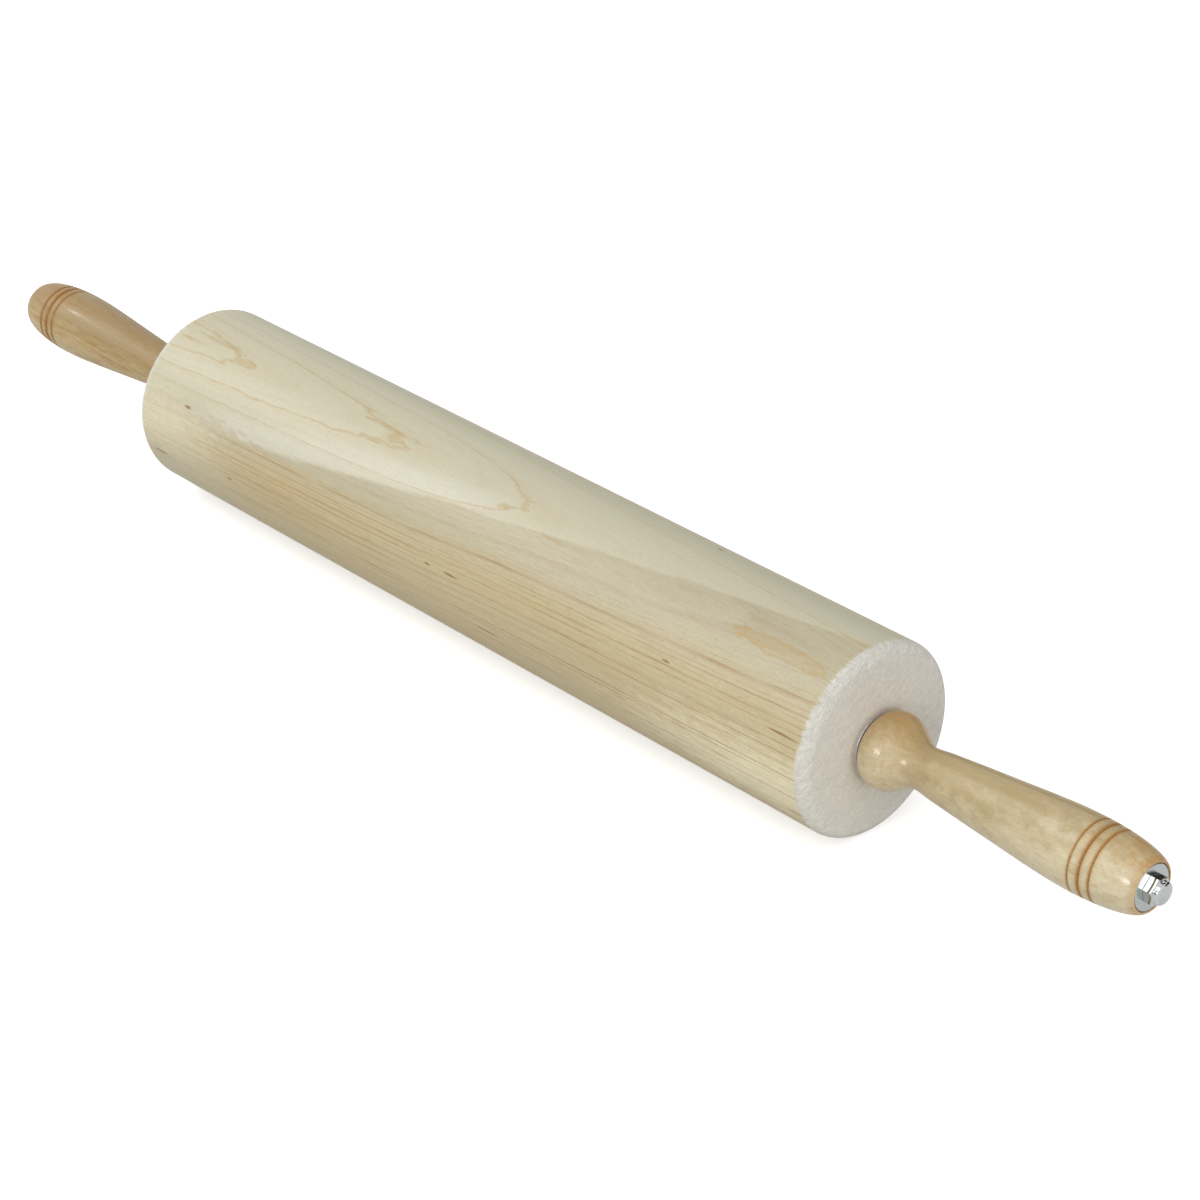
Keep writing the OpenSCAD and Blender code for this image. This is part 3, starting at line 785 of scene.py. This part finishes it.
def cupOutline(c):
    low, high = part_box("right_bearing_cup")
    faceX, frontX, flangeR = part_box("roller")[1].x, high.x, high.z
    bearingX = low.x + c["wall"]
    rim = roundOver(frontX - c["soft"], flangeR - c["soft"], c["soft"], 90, 0, 5)
    mouth = roundOver(frontX - c["soft"], c["boreR"] + c["soft"], c["soft"], 0, -90, 5)
    back = [(bearingX, c["boreR"]), (bearingX, c["backR"]), (low.x, c["backR"]), (low.x, c["wallR"])]
    return back + [(faceX, c["wallR"]), (faceX, flangeR)] + rim + mouth


rollerMaple = makeRollerWood(rollerWood)
nearMaple = makeHandleWood(nearWood, handleSpans, handle)
farMaple = makeHandleWood(farWood, handleSpans, handle)
metals = {name: makeMetal(name, *finish) for name, finish in metalFinish.items()}
print("materials written")

piece = addMesh("rollerTurned", *lathe(rollerOutline(roller), roller["segments"]),
                rollerMaple, "roller_maple", "roller", 50)
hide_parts("roller")

for side, label, maple in ((1, "right", nearMaple), (-1, "left", farMaple)):
    piece = addMesh(label + "HandleTurned", *lathe(handleOutline(handle), handle["segments"], side),
                    maple, "handle_maple", "handles", 50)
    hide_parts(label + "_handle")
    piece = addMesh(label + "WasherPlated", *lathe(washerOutline(washer), washer["segments"], side),
                    metals["washerPlate"], "chrome", "handles", 40)
    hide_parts(label + "_end_washer")
    piece = addMesh(label + "CapNutPlated", *nutMesh(nut, side),
                    metals["chromePlate"], "chrome", "handles", 30)
    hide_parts(label + "_cap_nut")
    piece = addMesh(label + "CupPressed", *lathe(cupOutline(cup), cup["segments"], side),
                    metals["zincPlatedCup"], "cup_steel", "roller", 40)
    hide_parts(label + "_bearing_cup")
print("turned pieces made")

innerMetals = {"balls": "polishedBalls", "ball_cage": "cageBrass"}      # by how the node's name ends
for name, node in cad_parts.items():
    finishes = [metal for ending, metal in innerMetals.items() if name.endswith(ending)]
    node.data.materials.clear()
    node.data.materials.append(metals[finishes[0] if finishes else "turnedSteel"])
print("inner metal finished")


studio = {
    "floorSize": 12.0,
    "floorBounce": (0.50, 0.50, 0.49),
    "floorSeen": (0.98, 0.98, 0.98),
    "floorGlow": 0.55,      # on top of the lit floor, for the camera only
    "floorSheen": 0.12,     # the same, in reflections
    "worldLevel": 0.52,
    # Where each lamp stands, the width of its face, its power, and whether it shows in gloss
    "lamps": [((-1.60, -0.88, 1.34), 1.5, 14.6, True), ((-1.89, -0.74, 1.40), 0.20, 3.8, True),
              ((0.90, -1.85, 0.78), 1.6, 9.6, False), ((2.12, -0.38, 0.45), 1.0, 9.0, False)],
    # Boards that only reflections see, as round a bench where metal is photographed: place, width, height,
    # glow. One without a glow is covered in dark cloth
    "boards": [((0.2, 1.7, 0.28), 4.5, 0.85, 0.0), ((0.3, 1.2, 1.7), 2.4, 1.5, 0.0),
               ((-0.75, -1.7, 0.02), 2.6, 0.45, 0.0), ((-0.41, -0.85, 1.11), 0.8, 0.8, 2.2),
               ((1.16, -0.85, 1.15), 0.8, 0.6, 4.0), ((0.52, -1.67, 0.56), 0.5, 0.45, 20.0)],
    "cloth": (shade(52, 44, 42), shade(74, 62, 58)),
}
white = (1.0, 1.0, 1.0)


def faceOrigin(piece, place):
    piece.location = place
    piece.rotation_mode = "QUATERNION"
    piece.rotation_quaternion = Vector(place).to_track_quat("Z", "Y")


def addLamp(name, place, size, power, inGloss):
    data = bpy.data.lights.new(name, "AREA")
    data.shape = "SQUARE"
    data.size = size
    data.energy = power
    lamp = bpy.data.objects.new(name, data)
    faceOrigin(lamp, place)
    lamp.visible_glossy = inGloss
    bpy.context.scene.collection.objects.link(lamp)


# A flat sheet that isn't part of the object
def addSheet(name, width, height, z, material):
    x, y = width / 2, height / 2
    mesh = bpy.data.meshes.new(name)
    mesh.from_pydata([(-x, -y, z), (x, -y, z), (x, y, z), (-x, y, z)], [], [(0, 1, 2, 3)])
    mesh.materials.append(material)
    sheet = bpy.data.objects.new(name, mesh)
    bpy.context.scene.collection.objects.link(sheet)
    return sheet


# 1 where the picture looks straight at the surroundings, and 1 where a reflection does
def seenDirectly(r):
    glossy, clear = r.add("LightPath", out="Is Glossy Ray"), r.add("LightPath", out="Is Transmission Ray")
    return r.add("LightPath", out="Is Camera Ray"), glossy.most(clear)


def addFloor(settings):
    r = Recipe("paleFloor")
    seen, mirrored = seenDirectly(r)
    colour = r.mix(seen.most(mirrored), settings["floorBounce"], settings["floorSeen"])
    level = seen * settings["floorGlow"] + mirrored * settings["floorSheen"]
    lit = r.add("BsdfDiffuse", {}, {"Color": colour})
    glow = r.add("Emission", {}, {"Color": white, "Strength": level})
    r.show(r.add("AddShader", {}, {0: lit, 1: glow}))
    addSheet("floor", settings["floorSize"], settings["floorSize"], cadBox[0].z, r.owner)


def addBoard(name, cloth, place, width, height, glow):
    r = Recipe(name)
    if glow:
        r.show(r.add("Emission", {}, {"Color": white, "Strength": glow}))
    else:
        weave = r.noise(r.stretch(r.add("TexCoord", out="Object"), 3.0, 3.0), 3)
        r.surface(Base_Color=r.mix(weave + 0.5, *cloth), Roughness=0.9)
    board = addSheet(name, width, height, 0.0, r.owner)
    faceOrigin(board, place)
    board.visible_camera = board.visible_diffuse = board.visible_shadow = False


def addWorld(settings):
    r = Recipe("studioWorld", world=True)
    seen, mirrored = seenDirectly(r)
    level = r.mix(seen.most(mirrored), (settings["worldLevel"],) * 3, white)
    r.show(r.add("Background", {}, {"Color": level, "Strength": 1.0}))
    bpy.context.scene.world = r.owner


addFloor(studio)
addWorld(studio)
for index, lamp in enumerate(studio["lamps"]):
    addLamp("lamp" + str(index), *lamp)
for index, board in enumerate(studio["boards"]):
    addBoard("board" + str(index), studio["cloth"], *board)
bpy.context.scene.view_settings.view_transform = "Standard"
print("studio lit")
